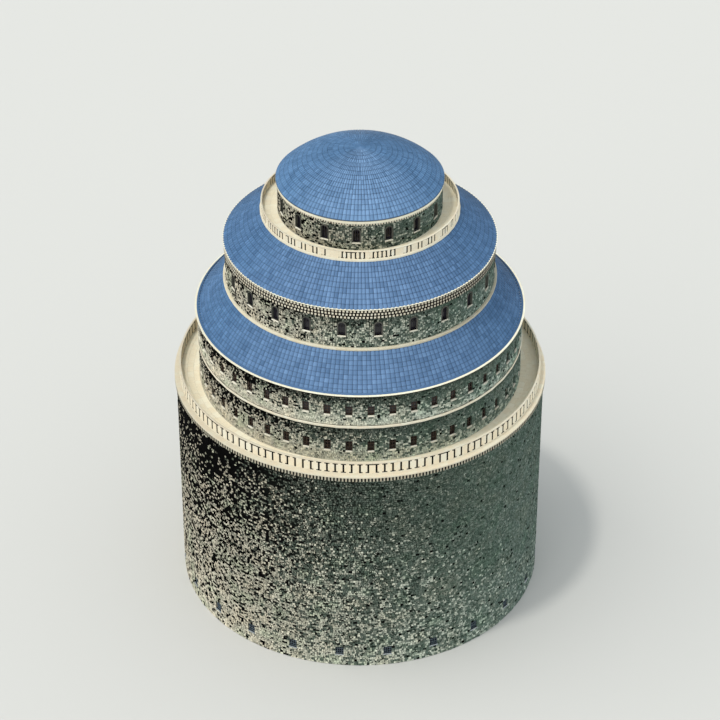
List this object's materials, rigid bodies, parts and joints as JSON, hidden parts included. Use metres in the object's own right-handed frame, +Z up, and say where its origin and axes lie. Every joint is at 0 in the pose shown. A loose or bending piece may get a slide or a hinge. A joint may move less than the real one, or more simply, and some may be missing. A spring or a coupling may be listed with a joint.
{
  "type": "round stepped masonry tower",
  "caption": "Round stepped stone tower with rings of small windows, a balustraded gallery, tiled ring roofs, a balcony and a shallow tiled dome.",
  "frame": {"origin": "centre of the round base, on the ground", "axes": "+Z up; -Y is the front, which faces the picture's camera; +X is to the right of it"},
  "size_m": [28.36, 28.36, 37.52],
  "materials": {
    "rubble_stone": "matte",
    "dressed_stone": "matte",
    "roof_tile": "satin",
    "paving_stone": "matte",
    "window_glass": "gloss",
    "window_frame": "satin"
  },
  "bodies": {
    "root": {"balcony_balustrade_back": "dressed_stone", "balcony_balustrade_front": "dressed_stone", "balcony_balustrade_left": "dressed_stone", "balcony_balustrade_right": "dressed_stone", "balcony_slab": "dressed_stone", "base_wall_back": "rubble_stone", "base_wall_front": "rubble_stone", "base_wall_left": "rubble_stone", "base_wall_right": "rubble_stone", "dome": "roof_tile", "eaves_slab": "dressed_stone", "gallery_balustrade_back": "dressed_stone", "gallery_balustrade_front": "dressed_stone", "gallery_balustrade_left": "dressed_stone", "gallery_balustrade_right": "dressed_stone", "gallery_slab": "dressed_stone", "ground_floor": "paving_stone", "lower_roof": "roof_tile", "lower_roof_drum": "rubble_stone", "tier_four_cornice": "dressed_stone", "tier_four_wall_back": "rubble_stone", "tier_four_wall_front": "rubble_stone", "tier_four_wall_left": "rubble_stone", "tier_four_wall_right": "rubble_stone", "tier_three_cornice": "dressed_stone", "tier_three_floor": "dressed_stone", "tier_three_wall_back": "rubble_stone", "tier_three_wall_front": "rubble_stone", "tier_three_wall_left": "rubble_stone", "tier_three_wall_right": "rubble_stone", "tier_two_floor": "dressed_stone", "tier_two_lower_wall_back": "rubble_stone", "tier_two_lower_wall_front": "rubble_stone", "tier_two_lower_wall_left": "rubble_stone", "tier_two_lower_wall_right": "rubble_stone", "tier_two_upper_wall_back": "rubble_stone", "tier_two_upper_wall_front": "rubble_stone", "tier_two_upper_wall_left": "rubble_stone", "tier_two_upper_wall_right": "rubble_stone", "upper_roof": "roof_tile", "upper_roof_drum": "rubble_stone"}
  },
  "joints": []
}
